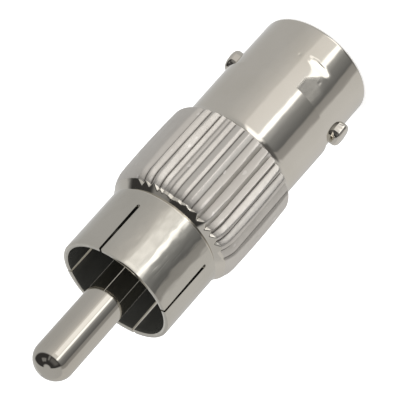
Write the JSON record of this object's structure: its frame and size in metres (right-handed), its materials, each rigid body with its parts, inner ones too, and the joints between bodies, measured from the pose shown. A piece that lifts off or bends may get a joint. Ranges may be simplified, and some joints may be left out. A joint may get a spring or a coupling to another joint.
{
  "type": "bnc to phono adapter",
  "caption": "Coaxial adapter turned in nickel-plated brass, with a female bayonet jack at one end, a male phono plug at the other and a fluted grip between them.",
  "frame": {"origin": "centre of the bayonet jack's open end, on which the adapter stands", "axes": "+Z along the axis towards the phono plug's pin; +X through the right bayonet lug"},
  "size_m": [0.0112, 0.0112, 0.0345],
  "materials": {
    "nickel_body": "bright nickel plate over turned brass",
    "nickel_lug": "bright nickel plate, rounded ends",
    "nickel_sleeve": "bright nickel plate, thin turned tube",
    "nickel_pin": "nickel plate, slightly duller than the body",
    "black_insulator": "moulded, matt",
    "brass_contact": "gold-coloured plate",
    "white_insulator": "smooth, waxy"
  },
  "bodies": {
    "root": {"adapter_body": "nickel_body", "bayonet_lug_right": "nickel_lug", "bayonet_lug_left": "nickel_lug", "ground_sleeve": "nickel_sleeve", "centre_pin": "nickel_pin", "rear_insulator": "black_insulator", "socket_contact": "brass_contact", "front_insulator": "white_insulator"}
  },
  "joints": []
}
